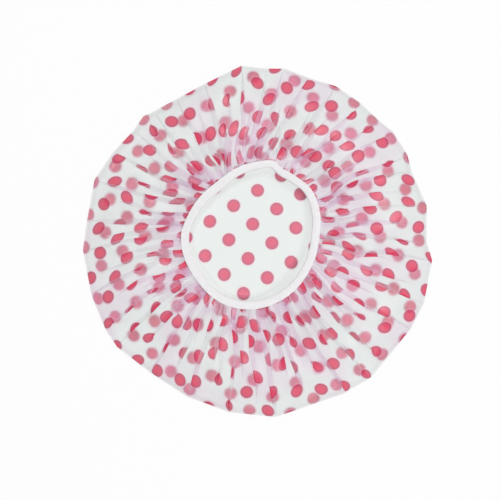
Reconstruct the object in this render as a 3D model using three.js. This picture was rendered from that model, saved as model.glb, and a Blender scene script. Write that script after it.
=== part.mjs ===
// Shower cap, lying as it is laid down: crown on the table, gathered mouth facing up.
// Millimetres, +Z up. The origin is on the table, in the middle of the cap's outline.
//
// One disc of thin film makes the whole cap. Its edge is drawn in to a quarter of its length,
// which throws the near side up into gathers. The edge is caught between the two legs of a
// folded white binding, and a flat elastic loop with lapped ends runs in the binding's fold.

import * as THREE from 'three';

// Film
const film_wall = 0.15;
const laid_radius = 144;
const rim_fold_radius = 7;
const crest_height = 23;
const crest_share = 0.5;
const billow_height = 2.2;
const billow_count = 7;
const crown_rest_share = 0.45;

// Gathers
const gather_count = 38;
const fold_height = 4.5;
const fold_start_share = 0.03;
const fold_full_share = 0.45;
const fold_reach_spread_share = 0.32;
const fold_height_spread_share = 0.35;
const fold_sway_share = 0.3;
const root_fold_height = 0.75;

// Mouth
const mouth_radius = 59.2;
const mouth_shift_x = -5.1;
const mouth_shift_y = 6.3;
const mouth_height = 16;

// Binding tape, folded round the gathered edge
const binding_width = 6;
const binding_height = 4;
const tape_wall = 0.4;

// Elastic, in the binding's fold
const elastic_width = 2.2;
const elastic_thickness = 0.6;
const elastic_edge_gap = 1.1;
const lap_length = 26;
const lap_angle_share = 0.16;

// Sewing
const thread_diameter = 0.3;
const seam_margin = 0.9;
const join_turns = 7;
const join_margin = 4;
const join_square_share = 1.3;

// Clearance between pieces that touch
const seat_gap = 0.3;
const thread_gap = 0.2;

// Facets
const film_steps = gather_count * 2;
const rest_sides = 12;
const rise_steps = 3;
const fall_steps = 2;
const binding_steps = 96;
const fold_arc_steps = 6;
const elastic_steps = 90;
const thread_sides = 6;
const seam_steps = 72;
const join_steps_per_turn = 10;

const full_turn = Math.PI * 2;
const quarter_turn = Math.PI / 2;
const golden_angle = Math.PI * (3 - Math.sqrt(5));

// The laid outline is a fold, so it runs straight between corners. Each corner has its share
// of a full turn from +X, anticlockwise, and its share of laid_radius.
const corner_shares = [
  [0, 0.989], [0.033, 1.012], [0.067, 0.989], [0.083, 1.012], [0.108, 1.018], [0.122, 1.002],
  [0.147, 1.007], [0.175, 1.015], [0.2, 0.998], [0.225, 1.019], [0.242, 1.008], [0.264, 1.027],
  [0.3, 0.967], [0.333, 0.952], [0.358, 0.967], [0.367, 0.984], [0.383, 0.966], [0.411, 0.984],
  [0.442, 1.011], [0.48, 0.996], [0.508, 1.014], [0.55, 1.013], [0.583, 1.019], [0.603, 1.02],
  [0.642, 0.984], [0.683, 0.991], [0.725, 1.008], [0.767, 1.03], [0.833, 1.021], [0.861, 1.035],
  [0.917, 1.031], [0.944, 1.038], [0.983, 1.028],
];

// The mouth is pulled out of round by the gathers, and it runs straight over the elastic's lap.
// Shares of mouth_radius, evenly spaced from +X, anticlockwise.
const mouth_shares = [
  0.976, 1.001, 1.027, 1.055, 1.062, 1.028, 1.026, 1.056, 1.064, 1.031, 0.992, 0.953,
  0.921, 0.913, 0.914, 0.921, 0.937, 0.966, 0.993, 0.998, 1.0, 0.998, 1.003, 1.026,
  1.05, 1.066, 1.072, 1.066, 1.054, 1.041, 1.026, 1.009, 0.993, 0.982, 0.976, 0.972,
];

const film_material = new THREE.MeshStandardMaterial({
  color: 0xf1efee, roughness: 0.45, metalness: 0, transparent: true, opacity: 0.55,
});
const binding_material = new THREE.MeshStandardMaterial({ color: 0xf6f8fa, roughness: 0.8, metalness: 0 });
const elastic_material = new THREE.MeshStandardMaterial({ color: 0xf0ece4, roughness: 0.85, metalness: 0 });
const thread_material = new THREE.MeshStandardMaterial({ color: 0xffffff, roughness: 0.7, metalness: 0 });

// A smooth closed curve through evenly spaced shares, read at an angle.
function shareAt(shares, angle) {
  const count = shares.length;
  const turns = angle / full_turn;
  const place = (turns - Math.floor(turns)) * count;
  const first = Math.floor(place) % count;
  const along = place - Math.floor(place);
  const before = shares[(first + count - 1) % count];
  const start = shares[first];
  const end = shares[(first + 1) % count];
  const after = shares[(first + 2) % count];
  const startSlope = (end - before) / 2;
  const endSlope = (after - start) / 2;
  const square = along * along;
  const cube = square * along;
  return start * (2 * cube - 3 * square + 1) + startSlope * (cube - 2 * square + along)
    + end * (3 * square - 2 * cube) + endSlope * (cube - square);
}

function smoothStep(from, to, value) {
  const share = Math.min(Math.max((value - from) / (to - from), 0), 1);
  return share * share * (3 - 2 * share);
}

// The angle of each step round the film. Every corner of the outline falls on a step, and the
// steps between two corners are even.
function filmAngle(step) {
  const turns = Math.floor(step / film_steps);
  const place = step - turns * film_steps;
  const cornerSteps = corner_shares.map(([turnShare]) => Math.round(turnShare * film_steps));
  const last = cornerSteps.findLastIndex((cornerStep) => cornerStep <= place);
  const [startShare] = corner_shares[last];
  const endStep = last + 1 < corner_shares.length ? cornerSteps[last + 1] : film_steps;
  const endShare = last + 1 < corner_shares.length ? corner_shares[last + 1][0] : 1;
  const along = (place - cornerSteps[last]) / (endStep - cornerSteps[last]);
  return full_turn * (turns + startShare + (endShare - startShare) * along);
}

// The widest line of the cap, seen from above: straight between its corners.
function rimPoint(angle) {
  const turnShare = angle / full_turn - Math.floor(angle / full_turn);
  const last = corner_shares.findLastIndex(([share]) => share <= turnShare);
  const [startShare, startReach] = corner_shares[last];
  const [nextShare, endReach] = corner_shares[(last + 1) % corner_shares.length];
  const endShare = nextShare > startShare ? nextShare : 1;
  const fromStart = Math.sin(full_turn * (turnShare - startShare));
  const toEnd = Math.sin(full_turn * (endShare - turnShare));
  const chord = Math.sin(full_turn * (endShare - startShare));
  const radius = laid_radius * startReach * endReach * chord / (startReach * fromStart + endReach * toEnd);
  return new THREE.Vector2(Math.cos(angle), Math.sin(angle)).multiplyScalar(radius);
}

// A point of the mouth, seen from above, measured inwards from the binding's outer edge.
function mouthPoint(angle, inset) {
  const radius = mouth_radius * shareAt(mouth_shares, angle) - inset;
  const point = new THREE.Vector2(Math.cos(angle), Math.sin(angle)).multiplyScalar(radius);
  return point.add(new THREE.Vector2(mouth_shift_x, mouth_shift_y));
}

// Gather folds: a ridge and a valley by turns. Each ridge has its own height and reach,
// so that the folds die out at different distances from the mouth.
function foldShare(step, inward) {
  const gather = Math.floor(step / 2);
  const own = (Math.sin(gather * golden_angle * 2) + 1) / 2;
  const start = fold_start_share + fold_reach_spread_share * own;
  const height = 1 - fold_height_spread_share * (Math.cos(gather * golden_angle) + 1) / 2;
  return height * smoothStep(start, start + fold_full_share, inward);
}

function foldSway(step, inward) {
  return fold_sway_share * Math.sin(step * golden_angle) * smoothStep(0, 1, inward) * (1 - inward);
}

// Rows of the film's middle surface, from the crown's resting edge round the rim's fold, up to
// the crest, and in to the hem. across is 1 at the rim and 0 at the binding's outer edge.
function filmRows() {
  const rimHeight = film_wall / 2 + rim_fold_radius;
  const rows = [
    { inset: rim_fold_radius, across: 1, height: film_wall / 2, inward: 0, billow: 0 },
    { inset: 0, across: 1, height: rimHeight, inward: 0, billow: 0 },
  ];
  for (let step = 1; step < rise_steps; step += 1) {
    const along = step / rise_steps;
    rows.push({
      inset: 0,
      across: 1 - (1 - crest_share) * along,
      height: rimHeight + (crest_height - rimHeight) * along * (2 - along),
      inward: (1 - crest_share) * along,
      billow: along,
    });
  }
  for (let step = 0; step < fall_steps; step += 1) {
    const along = step / fall_steps;
    rows.push({
      inset: 0,
      across: crest_share * (1 - along),
      height: mouth_height + (crest_height - mouth_height) * (1 + Math.cos(Math.PI * along)) / 2,
      inward: 1 - crest_share * (1 - along),
      billow: 1 - along,
    });
  }
  return rows;
}

function filmPoint(step, row) {
  const angle = filmAngle(step) + full_turn * foldSway(step, row.inward) / film_steps;
  const rim = rimPoint(angle);
  rim.setLength(rim.length() - row.inset);
  const place = mouthPoint(angle, 0).lerp(rim, row.across);
  const side = step % 2 === 0 ? 1 : -1;
  const fold = side * fold_height * foldShare(step, row.inward);
  const billow = billow_height * row.billow * Math.sin(billow_count * angle + Math.sin(angle));
  return new THREE.Vector3(place.x, place.y, row.height + fold + billow);
}

// The last two rows: where the gathers enter the binding, and the cut edge between its legs.
function rootPoint(step, inset, share) {
  const place = mouthPoint(filmAngle(step), inset);
  const side = step % 2 === 0 ? 1 : -1;
  return new THREE.Vector3(place.x, place.y, mouth_height + side * root_fold_height * share);
}

// The film's middle surface as points and triangles that face outwards (down, out and up).
function filmSheet() {
  const points = [new THREE.Vector3(0, 0, film_wall / 2)];
  const triangles = [];
  const restRadius = laid_radius * crown_rest_share;
  for (let side = 0; side < rest_sides; side += 1) {
    const angle = full_turn * side / rest_sides;
    points.push(new THREE.Vector3(restRadius * Math.cos(angle), restRadius * Math.sin(angle), film_wall / 2));
    triangles.push([0, 1 + (side + 1) % rest_sides, 1 + side]);
  }
  const rowStart = [points.length];
  const rows = filmRows();
  for (const row of rows) {
    for (let step = 0; step < film_steps; step += 1) points.push(filmPoint(step, row));
    rowStart.push(points.length);
  }
  for (let step = 0; step < film_steps; step += 1) points.push(rootPoint(step, -seat_gap, 1));
  rowStart.push(points.length);
  for (let step = 0; step < film_steps; step += 1) points.push(rootPoint(step, hemDepth(), 1 / 2));
  const perSide = film_steps / rest_sides;
  for (let step = 0; step < film_steps; step += 1) {
    const next = (step + 1) % film_steps;
    const corner = 1 + Math.floor((step + perSide / 2) / perSide) % rest_sides;
    const nextCorner = 1 + Math.floor((step + 1 + perSide / 2) / perSide) % rest_sides;
    triangles.push([corner, rowStart[0] + next, rowStart[0] + step]);
    if (corner !== nextCorner) triangles.push([corner, nextCorner, rowStart[0] + next]);
  }
  for (let row = 0; row < rowStart.length - 1; row += 1) {
    for (let step = 0; step < film_steps; step += 1) {
      const next = (step + 1) % film_steps;
      const low = rowStart[row];
      const high = rowStart[row + 1];
      triangles.push([low + step, low + next, high + next], [low + step, high + next, high + step]);
    }
  }
  return { points, triangles, edgeStart: rowStart[rowStart.length - 1] };
}

// How far the cut edge reaches in between the binding's legs: up to the elastic's join thread.
function hemDepth() {
  return binding_width - elastic_edge_gap - tape_wall - elastic_width - thread_diameter - thread_gap - seat_gap;
}

// Gives a sheet its wall: half to each side, along normals that keep the wall's true thickness.
function wallGeometry(sheet) {
  const { points, triangles, edgeStart } = sheet;
  const faceNormals = triangles.map(([a, b, c]) => {
    const first = points[b].clone().sub(points[a]);
    const second = points[c].clone().sub(points[a]);
    return first.cross(second).normalize();
  });
  const normals = points.map(() => new THREE.Vector3());
  triangles.forEach((corners, face) => corners.forEach((corner) => normals[corner].add(faceNormals[face])));
  normals.forEach((normal) => normal.normalize());
  const least = points.map(() => 1);
  triangles.forEach((corners, face) => corners.forEach((corner) => {
    least[corner] = Math.min(least[corner], normals[corner].dot(faceNormals[face]));
  }));
  const half = (index, way) => {
    const reach = way * film_wall / 2 / Math.max(least[index], 1 / 2);
    return points[index].clone().addScaledVector(normals[index], reach);
  };
  const corners = [...points.keys()].map((index) => half(index, 1));
  corners.push(...[...points.keys()].map((index) => half(index, -1)));
  const inner = points.length;
  const faces = [...triangles];
  triangles.forEach(([a, b, c]) => faces.push([inner + a, inner + c, inner + b]));
  for (let step = 0; step < film_steps; step += 1) {
    const here = edgeStart + step;
    const next = edgeStart + (step + 1) % film_steps;
    faces.push([here, next, inner + next], [here, inner + next, inner + here]);
  }
  return solidGeometry(corners, faces);
}

function solidGeometry(corners, faces) {
  const geometry = new THREE.BufferGeometry();
  geometry.setAttribute('position', new THREE.Float32BufferAttribute(corners.flatMap((p) => [p.x, p.y, p.z]), 3));
  geometry.setIndex(faces.flat());
  geometry.computeVertexNormals();
  return geometry;
}

// Carries a section round the mouth. Each section point is [inset from the binding's outer
// edge, height over the mouth's middle]. Open runs get flat ends, full turns join up.
function sweepRound({ section, steps, startAngle, sweepAngle, rise }) {
  const closed = sweepAngle === full_turn;
  const stations = closed ? steps : steps + 1;
  const corners = [];
  for (let station = 0; station < stations; station += 1) {
    const along = station / steps;
    const angle = startAngle + sweepAngle * along;
    for (const [inset, height] of section) {
      const place = mouthPoint(angle, inset);
      corners.push(new THREE.Vector3(place.x, place.y, mouth_height + height + rise * (1 / 2 - along)));
    }
  }
  const sides = section.length;
  const faces = [];
  for (let station = 0; station < steps; station += 1) {
    const here = station * sides;
    const there = ((station + 1) % stations) * sides;
    for (let side = 0; side < sides; side += 1) {
      const next = (side + 1) % sides;
      faces.push([here + side, there + side, there + next], [here + side, there + next, here + next]);
    }
  }
  if (!closed) {
    const last = steps * sides;
    for (let side = 1; side < sides - 1; side += 1) {
      faces.push([0, side, side + 1], [last, last + side + 1, last + side]);
    }
  }
  return solidGeometry(corners, faces);
}

// The folded tape in section: two flat legs joined by a round fold on the mouth's inner side.
function bindingSection() {
  const outerRadius = binding_height / 2;
  const innerRadius = outerRadius - tape_wall;
  const foldCentre = binding_width - outerRadius;
  const section = [];
  section.push([0, outerRadius]);
  for (let step = 0; step <= fold_arc_steps; step += 1) {
    const angle = quarter_turn - Math.PI * step / fold_arc_steps;
    section.push([foldCentre + outerRadius * Math.cos(angle), outerRadius * Math.sin(angle)]);
  }
  section.push([0, -outerRadius]);
  section.push([0, -innerRadius]);
  for (let step = fold_arc_steps; step >= 0; step -= 1) {
    const angle = quarter_turn - Math.PI * step / fold_arc_steps;
    section.push([foldCentre + innerRadius * Math.cos(angle), innerRadius * Math.sin(angle)]);
  }
  section.push([0, innerRadius]);
  return section;
}

// How far the elastic's inner edge lies in from the binding's outer edge.
function elasticInset() {
  return binding_width - tape_wall - elastic_edge_gap;
}

function elasticSection() {
  const inner = elasticInset();
  const outer = inner - elastic_width;
  const half = elastic_thickness / 2;
  return [[outer, half], [inner, half], [inner, -half], [outer, -half]];
}

// The lap's two layers lie one over the other, so the strip sinks by that much in one turn.
const lap_rise = elastic_thickness + seat_gap;
const lap_angle = lap_length / mouth_radius;
const elastic_sweep = full_turn + lap_angle;
const lap_start = full_turn * lap_angle_share - lap_angle / 2;

function elasticGeometry() {
  return sweepRound({
    section: elasticSection(),
    steps: elastic_steps,
    startAngle: lap_start,
    sweepAngle: elastic_sweep,
    rise: lap_rise * elastic_sweep / full_turn,
  });
}

function threadSection(inset, height) {
  const section = [];
  for (let side = 0; side < thread_sides; side += 1) {
    const angle = -full_turn * side / thread_sides;
    const radius = thread_diameter / 2;
    section.push([inset + radius * Math.cos(angle), height + radius * Math.sin(angle)]);
  }
  return section;
}

// A row of sewing round the binding, above it or below it, near the legs' open edge.
function seamGeometry(side) {
  const height = side * (binding_height / 2 + seat_gap + thread_diameter / 2);
  return sweepRound({
    section: threadSection(seam_margin, height),
    steps: seam_steps,
    startAngle: 0,
    sweepAngle: full_turn,
    rise: 0,
  });
}

// The thread that holds the lapped ends: overcast turns round both layers of the elastic.
class JoinCurve extends THREE.Curve {
  getPoint(along, target = new THREE.Vector3()) {
    const margin_angle = join_margin / mouth_radius;
    const angle = lap_start + margin_angle + (lap_angle - 2 * margin_angle) * along;
    const turn = full_turn * join_turns * along;
    const reach = thread_gap + thread_diameter / 2;
    const halfWidth = elastic_width / 2 + reach;
    const halfHeight = elastic_thickness + seat_gap / 2 + reach;
    const width = halfWidth * roundedWave(Math.cos(turn));
    const height = halfHeight * roundedWave(Math.sin(turn));
    const place = mouthPoint(angle, elasticInset() - elastic_width / 2 + width);
    return target.set(place.x, place.y, mouth_height + height);
  }
}

// Squares up a wave, so that a turn of thread follows a flat strip and not a circle round it.
function roundedWave(value) {
  return Math.min(Math.max(value * join_square_share, -1), 1);
}

function joinGeometry() {
  const section = new THREE.Shape();
  const radius = thread_diameter / 2;
  for (let side = 0; side < thread_sides; side += 1) {
    const angle = full_turn * side / thread_sides;
    const place = [radius * Math.cos(angle), radius * Math.sin(angle)];
    if (side === 0) section.moveTo(...place);
    else section.lineTo(...place);
  }
  section.closePath();
  return new THREE.ExtrudeGeometry(section, {
    steps: join_turns * join_steps_per_turn,
    extrudePath: new JoinCurve(),
    bevelEnabled: false,
  });
}

function piece(name, geometry, material) {
  const mesh = new THREE.Mesh(geometry, material);
  mesh.name = name;
  return mesh;
}

const cap = new THREE.Group();
cap.add(piece('cap_film', wallGeometry(filmSheet()), film_material));
cap.add(piece('hem_binding', sweepRound({
  section: bindingSection(), steps: binding_steps, startAngle: 0, sweepAngle: full_turn, rise: 0,
}), binding_material));
cap.add(piece('elastic_band', elasticGeometry(), elastic_material));
cap.add(piece('elastic_join_thread', joinGeometry(), thread_material));
cap.add(piece('needle_thread', seamGeometry(1), thread_material));
cap.add(piece('bobbin_thread', seamGeometry(-1), thread_material));

// The frame's origin is under the middle of the outline.
const bounds = new THREE.Box3().setFromObject(cap);
const middle = bounds.getCenter(new THREE.Vector3());
cap.position.set(-middle.x, -middle.y, -bounds.min.z);

export default cap;
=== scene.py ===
"""A frosted film shower cap with pink-red dots, lying on its crown with its gathered mouth up.

The frame holds the cap's real sizes. This script makes the cap's looks around it: one disc of
printed film with its edge drawn in to pleats, the white binding over the cut edge, the elastic
in the binding's fold and the sewing.
"""
import logging
import math
from contextlib import contextmanager
from dataclasses import dataclass, replace
from enum import Enum
from typing import Callable, Iterator, Sequence

import bpy
import numpy as np
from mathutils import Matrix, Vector


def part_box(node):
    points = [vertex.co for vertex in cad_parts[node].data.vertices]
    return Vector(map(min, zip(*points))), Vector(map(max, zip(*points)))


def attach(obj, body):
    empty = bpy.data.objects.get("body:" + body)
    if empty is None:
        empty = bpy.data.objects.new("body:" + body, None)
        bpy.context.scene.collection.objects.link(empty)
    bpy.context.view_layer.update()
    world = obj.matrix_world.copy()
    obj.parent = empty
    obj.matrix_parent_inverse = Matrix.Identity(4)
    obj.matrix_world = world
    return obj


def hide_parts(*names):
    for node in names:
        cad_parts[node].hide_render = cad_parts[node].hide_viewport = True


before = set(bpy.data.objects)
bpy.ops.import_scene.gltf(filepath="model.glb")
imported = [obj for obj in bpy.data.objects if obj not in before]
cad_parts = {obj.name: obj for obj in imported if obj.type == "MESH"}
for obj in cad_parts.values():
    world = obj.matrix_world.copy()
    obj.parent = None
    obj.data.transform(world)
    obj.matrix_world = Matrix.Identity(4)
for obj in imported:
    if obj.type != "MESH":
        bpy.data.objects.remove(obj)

LOG = logging.getLogger("shower_cap")
MM = 0.001
FULL_TURN = 2 * math.pi
QUARTER_TURN = math.pi / 2
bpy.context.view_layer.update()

# How many points are read round a full turn where a curve is measured.
AROUND = 720

# Faces of the sewn pieces that meet at less than this look smooth.
SMOOTH_ANGLE = math.radians(50)

# Mesh columns fixed to each pleat: a soft edge, a crease and the turned film on each side of its
# middle, and the middle itself.
PLEAT_COLUMNS = 7

# The photograph is 500 pixels square. Its scale comes from the cap's real width.
PHOTO_WIDTH_PX = 500
PHOTO_MM_PER_PX = 0.845
CAP_CENTRE_PX = (257.5, 241.5)
PRINTED_DOT_PX = (253.4, 227.2)
DOT_STEP_PX = (19.2, -18.9)
ROW_STEP_PX = (23.9, 15.5)

# The laid outline is a fold with straight runs between corners, as in the part. Each corner has
# its share of a full turn from +X, anticlockwise, and its share of the outline's mean radius.
CORNER_SHARES = (
    (0, 0.989), (0.033, 1.012), (0.067, 0.989), (0.083, 1.012), (0.108, 1.018), (0.122, 1.002),
    (0.147, 1.007), (0.175, 1.015), (0.2, 0.998), (0.225, 1.019), (0.242, 1.008), (0.264, 1.027),
    (0.3, 0.967), (0.333, 0.952), (0.358, 0.967), (0.367, 0.984), (0.383, 0.966), (0.411, 0.984),
    (0.442, 1.011), (0.48, 0.996), (0.508, 1.014), (0.55, 1.013), (0.583, 1.019), (0.603, 1.02),
    (0.642, 0.984), (0.683, 0.991), (0.725, 1.008), (0.767, 1.03), (0.833, 1.021), (0.861, 1.035),
    (0.917, 1.031), (0.944, 1.038), (0.983, 1.028),
)

# The mouth: shares of its mean radius, evenly spaced from +X, anticlockwise.
MOUTH_SHARES = (
    0.976, 1.001, 1.027, 1.055, 1.062, 1.028, 1.026, 1.056, 1.064, 1.031, 0.992, 0.953,
    0.921, 0.913, 0.914, 0.921, 0.937, 0.966, 0.993, 0.998, 1.0, 0.998, 1.003, 1.026,
    1.05, 1.066, 1.072, 1.066, 1.054, 1.041, 1.026, 1.009, 0.993, 0.982, 0.976, 0.972,
)

# What the photo shows between those: a corner at 73 degrees and a flatter upper left side. Each
# bump has its angle in degrees, its share of the radius and its reach in degrees.
MOUTH_BUMPS = (
    (65, -0.012, 6), (73, 0.028, 4.5), (86, -0.012, 10), (120, -0.042, 34), (172, -0.015, 18),
)


def bumps_at(angle: np.ndarray, bumps: Sequence[tuple[float, float, float]]) -> np.ndarray:
    """Adds up soft bumps round a full turn.

    Args:
        angle: The angles to read.
        bumps: Each bump's angle in degrees, its size and its reach in degrees.

    Returns:
        The sum at each angle.
    """
    total = np.zeros(np.shape(angle))
    for place, size, reach in bumps:
        off = np.mod(angle - math.radians(place) + math.pi, FULL_TURN) - math.pi
        total = total + size * np.exp(-((off / math.radians(reach)) ** 2))
    return total


def smooth_step(low: float, high: float, value: np.ndarray) -> np.ndarray:
    """Rises smoothly from 0 at low to 1 at high.

    Args:
        low: Where the rise starts.
        high: Where it ends.
        value: The places to read it at.

    Returns:
        The share at each place.
    """
    share = np.clip((value - low) / (high - low), 0, 1)
    return share * share * (3 - 2 * share)


class Seam(Enum):
    """The face of the folded tape that a row of sewing lies on."""

    NEEDLE = 1.0
    BOBBIN = -1.0


@dataclass(frozen=True)
class ClosedCurve:
    """A closed outline round a centre, smooth through evenly spaced shares of a mean radius."""

    shares: tuple[float, ...]
    mean_radius: float
    centre: tuple[float, float] = (0.0, 0.0)
    bumps: tuple[tuple[float, float, float], ...] = ()

    def radius(self, angle: np.ndarray) -> np.ndarray:
        """Reads the outline.

        Args:
            angle: The angles to read.

        Returns:
            The radius at each angle.
        """
        count = len(self.shares)
        shares = np.array(self.shares)
        place = np.mod(angle / FULL_TURN, 1.0) * count
        first = np.floor(place).astype(int) % count
        along = place - np.floor(place)
        before, start = shares[(first - 1) % count], shares[first]
        end, after = shares[(first + 1) % count], shares[(first + 2) % count]
        start_slope, end_slope = (end - before) / 2, (after - start) / 2
        square, cube = along**2, along**3
        return self.mean_radius * (
            start * (2 * cube - 3 * square + 1)
            + start_slope * (cube - 2 * square + along)
            + end * (3 * square - 2 * cube)
            + end_slope * (cube - square)
            + bumps_at(angle, self.bumps)
        )

    def points(self, angle: np.ndarray, inset: float | np.ndarray = 0.0) -> np.ndarray:
        """Points on the outline, or that far inside it.

        Args:
            angle: The angles to read.
            inset: How far inside the outline.

        Returns:
            An array of x and y for each angle.
        """
        radius = self.radius(angle) - inset
        x = self.centre[0] + radius * np.cos(angle)
        y = self.centre[1] + radius * np.sin(angle)
        return np.stack([x, y], axis=-1)

    def fitted(self, low: Sequence[float], high: Sequence[float]) -> "ClosedCurve":
        """The same curve, sized and moved so that its box is this one.

        Args:
            low: The box's lowest x and y.
            high: The box's highest x and y.

        Returns:
            The fitted curve.
        """
        angle = np.linspace(0, FULL_TURN, AROUND, endpoint=False)
        points = replace(self, mean_radius=1.0, centre=(0.0, 0.0)).points(angle)
        least, most = points.min(0), points.max(0)
        size = float(np.mean((np.array(high[:2]) - np.array(low[:2])) / (most - least)))
        centre = (np.array(low[:2]) + np.array(high[:2])) / 2 - size * (least + most) / 2
        return replace(self, mean_radius=size, centre=(float(centre[0]), float(centre[1])))


@dataclass(frozen=True)
class FoldedOutline(ClosedCurve):
    """A closed outline of straight runs between corners."""

    angles: tuple[float, ...] = ()

    def radius(self, angle: np.ndarray) -> np.ndarray:
        """Reads the outline.

        Args:
            angle: The angles to read.

        Returns:
            The radius at each angle.
        """
        corners = np.array(self.angles)
        place = np.mod(angle, FULL_TURN)
        last = np.searchsorted(corners, place, side="right") - 1
        following = (last + 1) % len(corners)
        start, end = corners[last], corners[following] + FULL_TURN * (following == 0)
        near, far = np.array(self.shares)[last], np.array(self.shares)[following]
        reach = near * far * np.sin(end - start)
        return self.mean_radius * reach / (near * np.sin(place - start) + far * np.sin(end - place))


class Field:
    """A smooth random field round the cap: sums of seeded waves in two directions."""

    def __init__(self, seed: int, waves: int, most_round: int, most_along: float) -> None:
        """Draws the waves.

        Args:
            seed: The random seed.
            waves: How many waves there are.
            most_round: The most periods round the cap.
            most_along: The most periods from the rim to the mouth.
        """
        draw = np.random.default_rng(seed)
        self.round = draw.integers(1, most_round + 1, waves)
        self.along = draw.uniform(-most_along, most_along, waves)
        self.phase = draw.uniform(0, FULL_TURN, waves)
        self.size = draw.uniform(0.4, 1.0, waves)
        self.size /= np.sqrt(np.sum(self.size**2) / 2)

    def at(self, angle: np.ndarray, inward: np.ndarray) -> np.ndarray:
        """The field's value, about -1 to 1.

        Args:
            angle: The angle round the cap.
            inward: 0 at the rim and 1 at the mouth.

        Returns:
            The value at each place.
        """
        total = np.zeros(np.broadcast(angle, inward).shape)
        for periods, along, phase, size in zip(self.round, self.along, self.phase, self.size):
            total = total + size * np.sin(periods * angle + FULL_TURN * along * inward + phase)
        return total


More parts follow.
